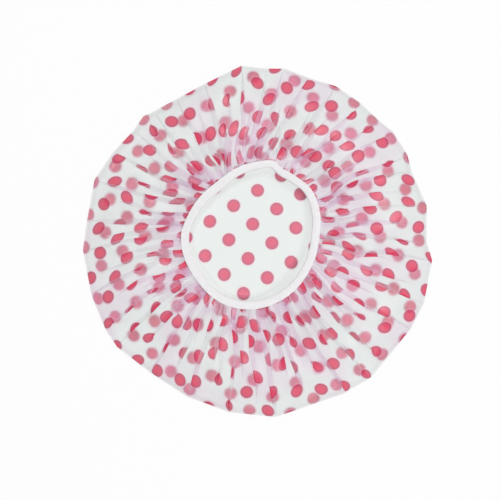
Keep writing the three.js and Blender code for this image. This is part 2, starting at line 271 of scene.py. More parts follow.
@dataclass
class Pleats:
    """Folds that take up the film's spare length round the near side.

    The first ones start at the rim's corners. Nearer the mouth new ones split the widest
    stretches between them. Across a pleat the film turns back under or over itself and then
    runs on again, so between pleats it stays as flat and as wide as it was cut.
    """

    corners: np.ndarray
    most: int = 140
    corner_jitter: float = 0.01
    crowding: float = 1.2
    ripening: float = 0.3
    settle_rounds: int = 6
    first_take_up: float = 2.2
    unevenness: float = 0.16
    trade: float = 0.34
    trade_turns: tuple[float, float] = (0.8, 2.2)
    split_choice: float = 0.35
    split_range: tuple[float, float] = (0.36, 0.64)
    seed: int = 11
    fold_height: float = 3.4 * MM
    fold_softness: float = 1.5 * MM
    rim_steepness: float = 0.9
    mouth_steepness: float = 0.45
    rim_crease: float = 1.5 * MM
    mouth_crease: float = 0.45 * MM
    crease_blur: float = 0.7
    crease_highlight_rarity: float = 1.8
    least_half: float = 0.3 * MM
    least_back: float = 0.01 * MM
    white_crease_and_highlight_back: float = 2 * MM
    tucked_back: float = 1 * MM
    edge_room: float = 1.2
    apart_rounds: int = 60
    open_column: float = 3.2 * MM
    least_open_columns: int = 3
    sway: float = 0.009
    sway_waves: tuple[int, int, float] = (6, 3, 0.8)
    own_sway: float = 0.004
    side_waves: tuple[int, int, float] = (5, 5, 0.0)
    side_bias: float = 0.35

    def grow(self, reaches: np.ndarray, rounds: np.ndarray) -> None:
        """Works out how wide each pleat is in each row, from the rim to the mouth.

        A pleat takes up the spare length of the film beside it, so the film isn't pulled round.
        A new pleat takes its part over from the two beside it, so pleats stay narrow.

        Args:
            reaches: Each row's distance from the disc's centre, along the film.
            rounds: The length of each row round the cap as it lies, over a full turn.
        """
        draw = np.random.default_rng(self.seed)
        self.reaches = reaches
        jitter = draw.uniform(-self.corner_jitter, self.corner_jitter, len(self.corners))
        angles = list(self.corners + jitter)
        first = len(angles)
        births, parents = [0.0] * first, [(0, 0)] * first
        while len(angles) < self.most:
            births.append(((len(angles) - first) / (self.most - first)) ** (1 / self.crowding))
            parents.append(self.split(draw, angles))
        order = np.argsort(angles)
        gaps = np.diff(np.append(np.array(angles)[order], angles[order[0]] + FULL_TURN))
        cells = np.empty(len(angles))
        cells[order] = gaps + np.roll(gaps, 1)
        cells *= draw.uniform(1 - self.unevenness, 1 + self.unevenness, len(angles))
        phase = draw.uniform(0, FULL_TURN, len(angles))
        turns = draw.uniform(*self.trade_turns, len(angles))
        backs, slants = [], []
        for reach, length in zip(reaches, rounds):
            inward = (rounds[0] - length) / (rounds[0] - rounds[-1])
            kept = smooth_step(0.0, self.ripening, inward - np.array(births))
            parts = cells.copy()
            for number in range(len(angles) - 1, first - 1, -1):
                passed = parts[number] * (1 - kept[number])
                parts[number] -= passed
                for parent in parents[number]:
                    parts[parent] += passed / 2
            parts = parts[order]
            given = self.trade * np.sin(phase + FULL_TURN * turns * inward)
            given *= np.minimum(parts, np.roll(parts, -1))
            parts += given - np.roll(given, 1)
            spare = max(FULL_TURN * (reach - length), 0.0)
            back, slant = self.settle_fold(spare * parts / parts.sum(), inward)
            backs.append(back)
            slants.append(slant)
        self.angle = np.array(angles)[order]
        self.back, self.slant = np.array(backs).T, np.array(slants).T
        field = Field(self.seed + 1, *self.side_waves)
        self.side = np.where(field.at(self.angle, np.array(0.0)) + self.side_bias > 0, 1.0, -1.0)
        self.own = draw.uniform(-1, 1, len(self.angle)) * self.own_sway
        # Each pleat's share of white on its creases: partly whitened film, partly a painted
        # highlight along the folds.
        self.white = draw.uniform(0, 1, len(self.angle)) ** self.crease_highlight_rarity
        self.swaying = Field(self.seed + 2, *self.sway_waves)
        self.set_columns()

    def settle_fold(self, width: np.ndarray, inward: float) -> tuple[np.ndarray, np.ndarray]:
        """Works out how far each pleat runs back for the length that it takes up.

        Its height depends on that and its length on its height, so a few rounds settle both.

        Args:
            width: The spare length in each pleat.
            inward: 0 at the rim and 1 at the mouth.

        Returns:
            How far each pleat runs back, and its slanting leg's length as a share of that.
        """
        back = width / self.first_take_up
        for _ in range(self.settle_rounds):
            rise = self.stand(back, inward) / np.maximum(back, self.least_back)
            slant = np.sqrt(1 + 4 * rise**2)
            back = width / (1 + slant)
        return back, slant

    def stand(self, back: np.ndarray, inward: float) -> np.ndarray:
        """How far the folds stand over the mean surface where they run this far back."""
        steepness = self.rim_steepness + (self.mouth_steepness - self.rim_steepness) * inward
        return np.minimum(steepness * back**2 / (back + self.fold_softness), self.fold_height)

    def split(self, draw: np.random.Generator, angles: list[float]) -> tuple[int, int]:
        """Starts one more pleat in the widest stretch between two.

        Args:
            draw: The random numbers.
            angles: Each pleat's angle on the flat disc, to which the new one's is added.

        Returns:
            The numbers of the pleats on both sides of it.
        """
        order = np.argsort(angles)
        sorted_angles = np.array(angles)[order]
        gaps = np.diff(np.append(sorted_angles, sorted_angles[0] + FULL_TURN))
        wish = 1 + self.split_choice * draw.uniform(-1, 1, len(gaps))
        chosen = int(np.argmax(gaps * wish))
        share = draw.uniform(*self.split_range)
        angles.append(float(sorted_angles[chosen] + gaps[chosen] * share))
        return int(order[chosen]), int(order[(chosen + 1) % len(order)])

    def set_columns(self) -> None:
        """Shares the mesh's columns out: some across each pleat, the rest between pleats."""
        gaps = np.diff(np.append(self.angle, self.angle[0] + FULL_TURN))
        between = np.round(gaps * self.reaches[0] / self.open_column)
        between = np.maximum(self.least_open_columns, between).astype(int)
        self.anchors = []
        column = 0
        for count in between:
            self.anchors.append([column + step for step in range(PLEAT_COLUMNS)])
            column += PLEAT_COLUMNS - 1 + int(count)
        self.columns = column

    def row(self, number: int, squeeze: float) -> tuple[np.ndarray, ...]:
        """Where one ring of the film lies round the cap.

        Args:
            number: The row.
            squeeze: The share of their height that the folds keep in this row.

        Returns:
            Each point's angle on the flat disc, its angle as it lies, how far it stands over
            the mean surface, how white its crease shows, which is partly whitened film and
            partly a painted highlight, and whether it is tucked in a pleat.
        """
        reach = self.reaches[number]
        inward = (reach - self.reaches[0]) / (self.reaches[-1] - self.reaches[0])
        back, slant = self.back[:, number], self.slant[:, number]
        half = np.maximum(slant * back / 2, self.least_half) / reach
        swayed = self.sway * self.swaying.at(self.angle, np.array(inward)) + self.own
        middle = self.angle + inward * swayed
        edge = (self.rim_crease + (self.mouth_crease - self.rim_crease) * inward) / reach
        middle = self.keep_apart(middle, half + self.edge_room * edge)
        knots, places = [], []
        for anchor, centre, wide in zip(self.anchors, middle, half):
            steps = (-wide - edge, -wide, -wide + min(edge, wide / 2), 0.0)
            places += [centre + step for step in steps]
            places += [centre - step for step in reversed(steps[:3])]
            knots += anchor
        knots.append(self.columns)
        places.append(places[0] + FULL_TURN)
        flat = np.interp(np.arange(self.columns), knots, places)
        crease_and_highlight, tucked = np.zeros(self.columns), np.zeros(self.columns)
        # The creases' white: partly whitened film, partly a painted highlight along the fold.
        for anchor, white, wide in zip(self.anchors, self.white, back):
            crease_and_highlight[[anchor[1], anchor[-2]]] = white * min(wide / self.white_crease_and_highlight_back, 1.0)
            tucked[anchor[2:-2]] = min(wide / self.tucked_back, 1.0)
        run_back = (1 + slant) * back / reach
        height = self.stand(back, inward) * squeeze
        taps = []
        for step in (-self.crease_blur, 0.0, self.crease_blur):
            taps.append(self.lie(flat + step * edge, middle, half, run_back, height))
        before, here, after = np.array(taps)
        lies, level = before / 4 + here / 2 + after / 4
        return flat, lies, level, crease_and_highlight, tucked

    def keep_apart(self, middle: np.ndarray, room: np.ndarray) -> np.ndarray:
        """Moves the pleats' middles so that none overlaps the next.

        Args:
            middle: The middles' angles, in order.
            room: Half of the angle that each pleat needs.

        Returns:
            The moved middles.
        """
        for _ in range(self.apart_rounds):
            gap = np.append(middle[1:], middle[0] + FULL_TURN) - middle
            lack = np.clip(room + np.roll(room, -1) - gap, 0, None) / 2
            middle = middle - lack + np.roll(lack, 1)
        return middle

    def lie(
        self,
        flat: np.ndarray,
        middle: np.ndarray,
        half: np.ndarray,
        run_back: np.ndarray,
        height: np.ndarray,
    ) -> tuple[np.ndarray, np.ndarray]:
        """Walks round the ring, forwards on the open film and backwards in each pleat.

        Args:
            flat: The angle of each point on the flat disc.
            middle: Each pleat's middle on the flat disc.
            half: Half of each pleat's angle on the flat disc.
            run_back: The angle on the flat disc that each pleat takes up.
            height: How far its folds stand over or under the mean surface.

        Returns:
            The angle at which each point lies, and its height.
        """
        begin, end = middle - half, middle + half
        forward = np.append(begin[1:], begin[0] + FULL_TURN) - end
        across = 2 * half - run_back
        lies_begin = np.cumsum(np.append(0.0, across + forward))[:-1]
        lies_end = lies_begin + across
        whole = forward.sum() + across.sum()
        knots = np.stack([begin, end], -1).ravel()
        travel = np.stack([lies_begin, lies_end], -1).ravel()
        level = np.stack([self.side * height, -self.side * height], -1).ravel()
        knots = np.append(knots, knots[0] + FULL_TURN)
        travel = np.append(travel, travel[0] + whole) * FULL_TURN / whole
        level = np.append(level, level[0])
        turned = -FULL_TURN * np.floor((flat - knots[0]) / FULL_TURN)
        lies = np.interp(flat + turned, knots, travel) - turned
        even = np.linspace(0, FULL_TURN, AROUND, endpoint=False) + knots[0]
        lies += float(np.mean(even - np.interp(even, knots, travel)))
        return lies, np.interp(flat + turned, knots, level)


@dataclass
class Ring:
    """One ring of the film's points.

    It holds where they lie, their distance from the flat disc's centre, their angle on it, and
    for each how white its crease shows, partly whitened film and partly a painted highlight,
    and whether it is tucked in a pleat.
    """

    points: np.ndarray
    reach: np.ndarray
    flat: np.ndarray
    marks: np.ndarray


@dataclass
class Film:
    """The printed film: crown, rim and gathered near side, made from one flat disc.

    The billows and crumples have a seed, a number of waves, and the most periods round the cap
    and from the rim to the mouth.
    """

    rim: FoldedOutline
    mouth: ClosedCurve
    crown_rows: int = 6
    under_rows: int = 6
    crease_rows: int = 5
    rise_rows: int = 20
    fall_rows: int = 26
    film_wall: float = 0.15 * MM
    under_radius: float = 9 * MM
    crease_radius: float = 2.2 * MM
    crease_turn: float = math.radians(62)
    slack: float = 0.047
    slack_power: float = 3.0
    crest_height: float = 22 * MM
    crest_share: float = 0.5
    rise_power: float = 1.15
    mouth_height: float = 16 * MM
    hem_start: float = 0.84
    hem_depth: float = 1.5 * MM
    hem_room: float = 0.8 * MM
    open_start: float = 0.15
    billows: tuple[int, int, int, float] = (5, 7, 9, 0.8)
    billow_height: float = 2.2 * MM
    crumples: tuple[int, int, int, float] = (8, 26, 90, 5.0)
    crumple_height: float = 0.3 * MM
    crown_slip: tuple[float, float] = (-0.6 * MM, 2.7 * MM)
    slip_reach: float = 85 * MM
    ridge_inset: float = 9.5 * MM
    ridge_bumps: tuple[tuple[float, float, float], ...] = (
        (-48, 6 * MM, 24), (20, -1.2 * MM, 20), (90, 2 * MM, 24),
        (150, 1.5 * MM, 20), (225, 2 * MM, 25),
    )
    ridge_height: float = 0.95 * MM
    ridge_half_width: float = 1.8 * MM
    ridge_steps: int = 4
    crown_shares: tuple[float, ...] = (0.3, 0.6, 0.85)

    def crown(self, flat: np.ndarray, edge: np.ndarray) -> list[tuple[np.ndarray, float]]:
        """Rows of the flat crown, with the low ridge that the pressed mouth leaves in it.

        Args:
            flat: The angle of each point on the flat disc.
            edge: How far out the crown's flat edge lies at each.

        Returns:
            For each row: the points' distance from the middle, and the row's height.
        """
        angle = np.linspace(0, FULL_TURN, AROUND, endpoint=False)
        inset = self.ridge_inset + bumps_at(angle, self.ridge_bumps)
        spots = self.mouth.points(angle, inset) - np.array(self.rim.centre)
        turns = np.arctan2(spots[:, 1], spots[:, 0])
        reaches = np.hypot(spots[:, 0], spots[:, 1])
        ridge = np.interp(flat, turns, reaches, period=FULL_TURN)
        rows = [(ridge * share, 0.0) for share in self.crown_shares]
        most = self.ridge_steps
        for step in range(-most, most + 1):
            rise = (1 - (step / most) ** 2) ** 2
            rows.append((ridge + self.ridge_half_width * step / most, self.ridge_height * rise))
        outer = ridge + self.ridge_half_width
        for step in range(1, self.crown_rows):
            rows.append((outer + (edge - outer) * step / self.crown_rows, 0.0))
        return rows

    def profile(self) -> list[tuple[float, float, float, float]]:
        """The film's mean section, from the crown's flat edge to the binding.

        Returns:
            For each row: inset from the rim, share of the way from mouth to rim, height, and
            how far in the row is, from 0 at the rim to 1 at the mouth.
        """
        rows = []
        base = self.film_wall / 2
        for step in range(self.under_rows):
            angle = QUARTER_TURN * step / self.under_rows
            inset = self.under_radius * (1 - math.sin(angle))
            rows.append((inset, 1.0, base + self.under_radius * (1 - math.cos(angle)), 0.0))
        for step in range(self.crease_rows):
            angle = self.crease_turn * step / self.crease_rows
            inset = self.crease_radius * (1 - math.cos(angle))
            height = base + self.under_radius + self.crease_radius * math.sin(angle)
            rows.append((inset, 1.0, height, 0.0))
        inset = self.crease_radius * (1 - math.cos(self.crease_turn))
        start = base + self.under_radius + self.crease_radius * math.sin(self.crease_turn)
        for step in range(self.rise_rows):
            along = (step / self.rise_rows) ** self.rise_power
            across = 1 - (1 - self.crest_share) * along
            height = start + (self.crest_height - start) * (2 * along - along * along)
            rows.append((inset, across, height, 1 - across))
        for step in range(self.fall_rows + 1):
            along = step / self.fall_rows
            across = self.crest_share * (1 - along)
            drop = (1 + math.cos(math.pi * along)) / 2
            height = self.mouth_height + (self.crest_height - self.mouth_height) * drop
            rows.append((inset, across, height, 1 - across))
        return rows

    def build(self) -> tuple[bpy.types.Object, float]:
        """Lays the film and makes its mesh.

        Returns:
            The film's object, and the radius of the disc that it is cut from.
        """
        relief = (Field(*self.billows), Field(*self.crumples))
        profile = self.profile()
        reaches = self.reaches(profile)
        shown = self.under_rows
        pleats = Pleats(np.array(self.rim.angles))
        pleats.grow(np.array(reaches[shown:]), np.array(self.rounds(profile[shown:])))
        flat = pleats.row(0, 1.0)[0]
        rings = self.crown_rings(flat, self.rim.radius(flat) - profile[0][0])
        rings += self.side_rings(flat, profile, pleats, relief)
        cut_radius = float(np.mean(rings[-1].reach))
        LOG.info("pleats %d, columns %d, rows %d", len(pleats.angle), pleats.columns, len(rings))
        return self.mesh(rings), cut_radius

    def reaches(self, profile: list[tuple[float, float, float, float]]) -> list[float]:
        """Measures each row's mean distance from the disc's centre, along the film.

        Args:
            profile: The film's mean section.

        Returns:
            The distance of each row.
        """
        mean_rim, mean_mouth = self.rim.mean_radius, self.mouth.mean_radius
        sections = []
        for inset, across, height, _ in profile:
            sections.append((mean_mouth + (mean_rim - inset - mean_mouth) * across, height))
        reaches = [sections[0][0]]
        for one, two in zip(sections, sections[1:]):
            reaches.append(reaches[-1] + math.dist(one, two))
        return reaches

    def rounds(self, profile: list[tuple[float, float, float, float]]) -> list[float]:
        """Measures each row's length round the cap as it lies, over a full turn.

        Args:
            profile: The rows of the film's mean section to measure.

        Returns:
            The length of each row.
        """
        even = np.linspace(0, FULL_TURN, 2 * AROUND, endpoint=False)
        inner = self.mouth.points(even)
        rounds = []
        for inset, across, _, _ in profile:
            ring = inner + (self.rim.points(even, inset) - inner) * across
            steps = np.linalg.norm(ring - np.roll(ring, 1, axis=0), axis=1)
            rounds.append(steps.sum() / FULL_TURN)
        return rounds

    def crown_rings(self, flat: np.ndarray, edge: np.ndarray) -> list[Ring]:
        """Lays the flat crown.

        Args:
            flat: The angle of each point on the flat disc.
            edge: How far out the crown's flat edge lies at each.

        Returns:
            Its rings, from the middle outwards.
        """
        rings = []
        for radius, height in self.crown(flat, edge):
            share = radius / edge
            spot = np.stack([radius * np.cos(flat), radius * np.sin(flat)], -1)
            spot = spot + np.array(self.rim.centre)
            level = np.full(len(flat), self.film_wall / 2 + height)
            reach = radius * (1 + self.slack * share**self.slack_power)
            points = np.column_stack([spot, level])
            rings.append(Ring(points, reach, flat, np.zeros((2, len(flat)))))
        return rings

    def side_rings(
        self,
        flat: np.ndarray,
        profile: list[tuple[float, float, float, float]],
        pleats: Pleats,
        relief: tuple[Field, Field],
    ) -> list[Ring]:
        """Lays the rim and the gathered near side, up to the cut edge in the binding.

        Args:
            flat: The angle of each point of the crown on the flat disc.
            profile: The film's mean section.
            pleats: The pleats, already grown.
            relief: The billows and the crumples.

        Returns:
            The rings, from the crown's edge to the cut edge.
        """
        billows, crumples = relief
        marks = np.zeros((2, len(flat)))
        stand = np.zeros(len(flat))
        lies = flat
        rings = []
        for number, (inset, across, height, inward) in enumerate(profile):
            near_mouth = float(smooth_step(self.hem_start, 1.0, np.array(inward)))
            squeeze = 1 - near_mouth + near_mouth * self.hem_room / pleats.fold_height
            if number > self.under_rows:
                flat, lies, stand, *marks = pleats.row(number - self.under_rows, squeeze)
            rim_points = self.rim.points(lies, inset)
            mouth_points = self.mouth.points(lies)
            spot = mouth_points + (rim_points - mouth_points) * across
            open_share = float(smooth_step(0.0, self.open_start, np.array(inward)))
            open_share = open_share * (1 - near_mouth)
            inwards = np.array(inward)
            lift = self.billow_height * billows.at(lies, inwards) / 2 * open_share
            lift = lift + self.crumple_height * crumples.at(flat, inwards) / 2 * open_share
            if rings:
                width = np.linalg.norm(rim_points - mouth_points, axis=1)
                before = profile[number - 1]
                level = (before[1] - across) * width + abs(before[0] - inset)
                reach = np.interp(flat, rings[-1].flat, rings[-1].reach, period=FULL_TURN)
                reach = reach + np.hypot(level, height - before[2])
            else:
                reach = (self.rim.radius(flat) - inset) * (1 + self.slack)
            points = np.column_stack([spot, height + stand + lift])
            rings.append(Ring(points, reach, flat, np.array(marks)))
        last = len(pleats.reaches) - 1
        flat, lies, stand, *marks = pleats.row(last, self.hem_room / pleats.fold_height)
        spot = self.mouth.points(lies, self.hem_depth)
        points = np.column_stack([spot, self.mouth_height + stand])
        rings.append(Ring(points, rings[-1].reach + self.hem_depth, flat, np.array(marks)))
        return rings

    def mesh(self, rings: list[Ring]) -> bpy.types.Object:
        """Makes the film's mesh, with its place on the flat disc as its UV map.

        Args:
            rings: The rings of points, from the crown's middle to the cut edge.

        Returns:
            The film's object.
        """
        count = len(rings[0].points)
        centre = np.array([[self.rim.centre[0], self.rim.centre[1], self.film_wall / 2]])
        points = np.vstack([centre] + [ring.points for ring in rings])
        spots = [np.array([self.rim.centre])]
        for ring in rings:
            spot = np.stack([ring.reach * np.cos(ring.flat), ring.reach * np.sin(ring.flat)], -1)
            spots.append(spot + np.array(self.rim.centre))
        uv = np.vstack(spots)
        fade = np.exp(-np.sum(uv**2, 1) / self.slip_reach**2)
        uv = (uv - fade[:, None] * np.array(self.crown_slip)) / MM
        here = np.arange(count)
        after = (here + 1) % count
        faces = [np.column_stack([np.zeros(count, int), 1 + after, 1 + here]).tolist()]
        for number in range(len(rings) - 1):
            low, high = 1 + number * count, 1 + (number + 1) * count
            square = [low + here, low + after, high + after, high + here]
            faces.append(np.column_stack(square).tolist())
        faces = [face for group in faces for face in group]
        mesh = bpy.data.meshes.new("film_sheet")
        mesh.from_pydata(points.tolist(), [], faces)
        layer = mesh.uv_layers.new(name="flat_cut")
        loops = np.empty(len(mesh.loops), int)
        mesh.loops.foreach_get("vertex_index", loops)
        layer.data.foreach_set("uv", uv[loops].ravel())
        values = np.concatenate([np.zeros((2, 1))] + [ring.marks for ring in rings], axis=1)
        # The first number is the creases' white, partly whitened film and partly a painted
        # highlight.
        for name, value in zip(("crease_and_highlight", "tucked"), values):
            mesh.attributes.new(name, "FLOAT", "POINT").data.foreach_set("value", value)
        mesh.polygons.foreach_set("use_smooth", np.ones(len(mesh.polygons), bool))
        mesh.update()
        sheet = bpy.data.objects.new("film_sheet", mesh)
        bpy.context.collection.objects.link(sheet)
        return sheet


@dataclass
class MouthRun:
    """The way round the mouth, measured along the middle of the binding."""

    curve: ClosedCurve
    height: float
    middle_inset: float = 3 * MM

    def __post_init__(self) -> None:
        """Measures the line."""
        self.angles = np.linspace(0, FULL_TURN, 2 * AROUND + 1)
        points = self.curve.points(self.angles, self.middle_inset)
        steps = np.linalg.norm(np.diff(points, axis=0), axis=1)
        self.lengths = np.append(0.0, np.cumsum(steps))
        self.length = float(self.lengths[-1])

    def angle(self, along: np.ndarray) -> np.ndarray:
        """The angle reached after each length."""
        turns = np.floor(along / self.length)
        return np.interp(along - turns * self.length, self.lengths, self.angles) + turns * FULL_TURN

    def wrap(self, piece: bpy.types.Object, start: float = 0.0) -> None:
        """Lays a straight piece round the mouth.

        Args:
            piece: The piece, along +X, with its inset from the binding's outer edge in +Y and
                its height over the middle of the binding in +Z.
            start: Where its own 0 comes, along the mouth.
        """
        spots = vertices_of(piece)
        flat = self.curve.points(self.angle(start + spots[:, 0]), spots[:, 1])
        put_vertices(piece, np.column_stack([flat, self.height + spots[:, 2]]))


@contextmanager
def editing(select_all: bool = False) -> Iterator[None]:
    """Holds the active piece in edit mode.

    Args:
        select_all: Whether all of it is selected first.

    Yields:
        Nothing. The piece is back in object mode afterwards.
    """
    bpy.ops.object.mode_set(mode="EDIT")
    if select_all:
        bpy.ops.mesh.select_all(action="SELECT")
    yield
    bpy.ops.object.mode_set(mode="OBJECT")


def pick(piece: bpy.types.Object) -> None:
    """Selects one piece alone and makes it active.

    Args:
        piece: The piece.
    """
    bpy.ops.object.select_all(action="DESELECT")
    piece.select_set(True)
    bpy.context.view_layer.objects.active = piece


def start_strip(
    name: str,
    cuts: tuple[int, int],
    size: tuple[float, float],
    middle: tuple[float, float, float],
) -> bpy.types.Object:
    """Starts a piece as a flat strip, at its size and place.

    Args:
        name: The piece's name.
        cuts: How many faces it has along and across.
        size: Its length and width.
        middle: Where its middle lies.

    Returns:
        The strip.
    """
    bpy.ops.object.select_all(action="DESELECT")
    bpy.ops.mesh.primitive_grid_add(x_subdivisions=cuts[0], y_subdivisions=cuts[1], size=1)
    piece = bpy.context.object
    piece.name = name
    with editing():
        bpy.ops.transform.resize(value=(*size, 1))
        bpy.ops.transform.translate(value=middle)
    return piece


def vertices_of(piece: bpy.types.Object) -> np.ndarray:
    """Reads the places of a piece's vertices.

    Args:
        piece: The piece.

    Returns:
        An array of x, y and z for each vertex.
    """
    spots = np.empty(3 * len(piece.data.vertices))
    piece.data.vertices.foreach_get("co", spots)
    return spots.reshape(-1, 3)


def put_vertices(piece: bpy.types.Object, spots: np.ndarray) -> None:
    """Moves a piece's vertices to these places."""
    piece.data.vertices.foreach_set("co", np.asarray(spots, float).ravel())
    piece.data.update()


def set_run(piece: bpy.types.Object, across: Callable[[np.ndarray], np.ndarray]) -> None:
    """Gives a straight piece a UV map in millimetres: along it, and round its section.

    Args:
        piece: The piece, still straight along +X.
        across: Works out the way round the section from the vertices' places.
    """
    spots = vertices_of(piece)
    places = np.column_stack([spots[:, 0], across(spots)]) / MM
    layer = piece.data.uv_layers.active or piece.data.uv_layers.new()
    layer.name = "run"
    loops = np.empty(len(piece.data.loops), int)
    piece.data.loops.foreach_get("vertex_index", loops)
    layer.data.foreach_set("uv", places[loops].ravel())


def apply_modifier(piece: bpy.types.Object, kind: str, settings: dict) -> None:
    """Adds one modifier to a piece and applies it.

    Args:
        piece: The piece.
        kind: The modifier's type.
        settings: Its settings.
    """
    modifier = piece.modifiers.new(kind.lower(), kind)
    for name, value in settings.items():
        setattr(modifier, name, value)
    pick(piece)
    bpy.ops.object.modifier_apply(modifier=modifier.name)


def settle(piece: bpy.types.Object, clean: float = 0.0) -> None:
    """Puts a piece's own origin at the frame's and smooths it.

    Args:
        piece: The piece.
        clean: Vertices closer than this are merged first, where it is more than nothing.
    """
    pick(piece)
    bpy.ops.object.transform_apply(location=True, rotation=True, scale=True)
    if clean:
        with editing(select_all=True):
            bpy.ops.mesh.remove_doubles(threshold=clean)
            bpy.ops.mesh.normals_make_consistent(inside=False)
    bpy.ops.object.shade_smooth_by_angle(angle=SMOOTH_ANGLE)


@dataclass
class Binding:
    """The white tape, folded over the gathered edge, with one end lapped over the other."""

    run: MouthRun
    width: float = 6.8 * MM
    thickness: float = 4 * MM
    wall: float = 0.4 * MM
    lap: float = 14 * MM
    lap_start: float = 50 * MM
    fold_depth: float = 0.9 * MM
    fold_steps: int = 8
    edge_margin: float = 0.1 * MM
    steps: int = 420
    pucker: tuple[int, int, int, float] = (31, 9, 64, 0.0)
    pucker_height: float = 0.16 * MM
    pucker_at_fold: float = 0.35
    wander: tuple[int, int, int, float] = (32, 7, 12, 0.0)
    edge_wander: float = 0.22 * MM
    outer_share: float = 0.8
    lap_ramp: tuple[float, float] = (-6 * MM, 1 * MM)
    lap_lift: float = 1.15
    lap_reach: float = 1.1
    spread: tuple[tuple[float, float, float], ...] = (
        (55, -0.1, 22), (125, 0.13, 25), (5, 0.04, 22),
    )

    def section(self) -> list[tuple[float, float]]:
        """Works out the middle of the folded tape's wall: upper leg, fold, lower leg.

        Returns:
            Points of the section: inset from the outer edge, and height over the middle.
        """
        half = (self.thickness - self.wall) / 2
        depth = self.fold_depth - self.wall / 2
        centre = self.width - self.fold_depth
        points = [(0.0, half), (centre / 2, half)]
        for step in range(self.fold_steps + 1):
            angle = QUARTER_TURN - math.pi * step / self.fold_steps
            points.append((centre + depth * math.cos(angle), half * math.sin(angle)))
        return points + [(centre / 2, -half), (0.0, -half)]

    def build(self) -> bpy.types.Object:
        """Models the tape straight, folds it by extruding its edge, and lays it round.

        Returns:
            The folded tape.
        """
        section = self.section()
        length = self.run.length + self.lap
        first = section[1][0]
        middle = (length / 2, first / 2, section[0][1])
        piece = start_strip("folded_binding", (self.steps, 1), (length, first), middle)
        self.choose_edge(piece, first)
        with editing():
            for one, two in zip(section[1:], section[2:]):
                step = (0, two[0] - one[0], two[1] - one[1])
                bpy.ops.mesh.extrude_region_move(TRANSFORM_OT_translate={"value": step})
        steps = [math.dist(one, two) for one, two in zip(section, section[1:])]
        reach = np.append(0.0, np.cumsum(steps))
        points = np.array(section)
        set_run(piece, lambda spots: reach[np.argmin(
            np.hypot(spots[:, 1:2] - points[:, 0], spots[:, 2:3] - points[:, 1]), axis=1)])
        self.shape_legs(piece, length)
        settings = {"thickness": self.wall, "offset": 0.0, "use_even_offset": True, "use_rim": True}
        apply_modifier(piece, "SOLIDIFY", settings)
        self.run.wrap(piece, self.lap_start)
        settle(piece)
        with editing(select_all=True):
            bpy.ops.mesh.normals_make_consistent(inside=False)
        piece.data.materials.append(KnitTape().make())
        return piece

    def choose_edge(self, piece: bpy.types.Object, edge: float) -> None:
        """Selects the strip's inner edge, which the next step extrudes.

        Args:
            piece: The strip.
            edge: How far in that edge lies.
        """
        with editing():
            bpy.ops.mesh.select_all(action="DESELECT")
            bpy.ops.mesh.select_mode(type="EDGE")
        spots = vertices_of(piece)
        for line in piece.data.edges:
            one, two = line.vertices
            line.select = bool(min(spots[one, 1], spots[two, 1]) > edge - self.edge_margin)

    def shape_legs(self, piece: bpy.types.Object, length: float) -> None:
        """Puckers the legs, lets the edges wander, and lifts the lapped end over the other.

        Args:
            piece: The straight folded strip.
            length: Its whole length.
        """
        spots = vertices_of(piece)
        along, inset, height = spots.T
        turn = FULL_TURN * along / self.run.length
        outer = 1 - smooth_step(0.0, self.outer_share * self.width, inset)
        ripple, wander = Field(*self.pucker), Field(*self.wander)
        zero = np.array(0.0)
        side = np.sign(height)
        strength = self.pucker_at_fold + (1 - self.pucker_at_fold) * outer
        height = height + self.pucker_height * ripple.at(turn, zero) / 2 * strength
        height = height + 0.5 * side * self.edge_wander * wander.at(turn + 1, zero) / 2 * outer
        inset = inset + self.edge_wander * wander.at(turn, zero) / 2
        lap = length - self.lap
        over = smooth_step(lap + self.lap_ramp[0], lap + self.lap_ramp[1], along)
        swell = 1 + over * self.lap_lift * self.wall / (self.thickness / 2 - self.wall / 2)
        height = height * swell
        centre = self.width - self.fold_depth
        inset = centre + (inset - centre) * (1 + over * self.lap_reach * self.wall / centre)
        inset = inset * (1 + bumps_at(self.run.angle(self.lap_start + along), self.spread))
        put_vertices(piece, np.column_stack([along, inset, height]))


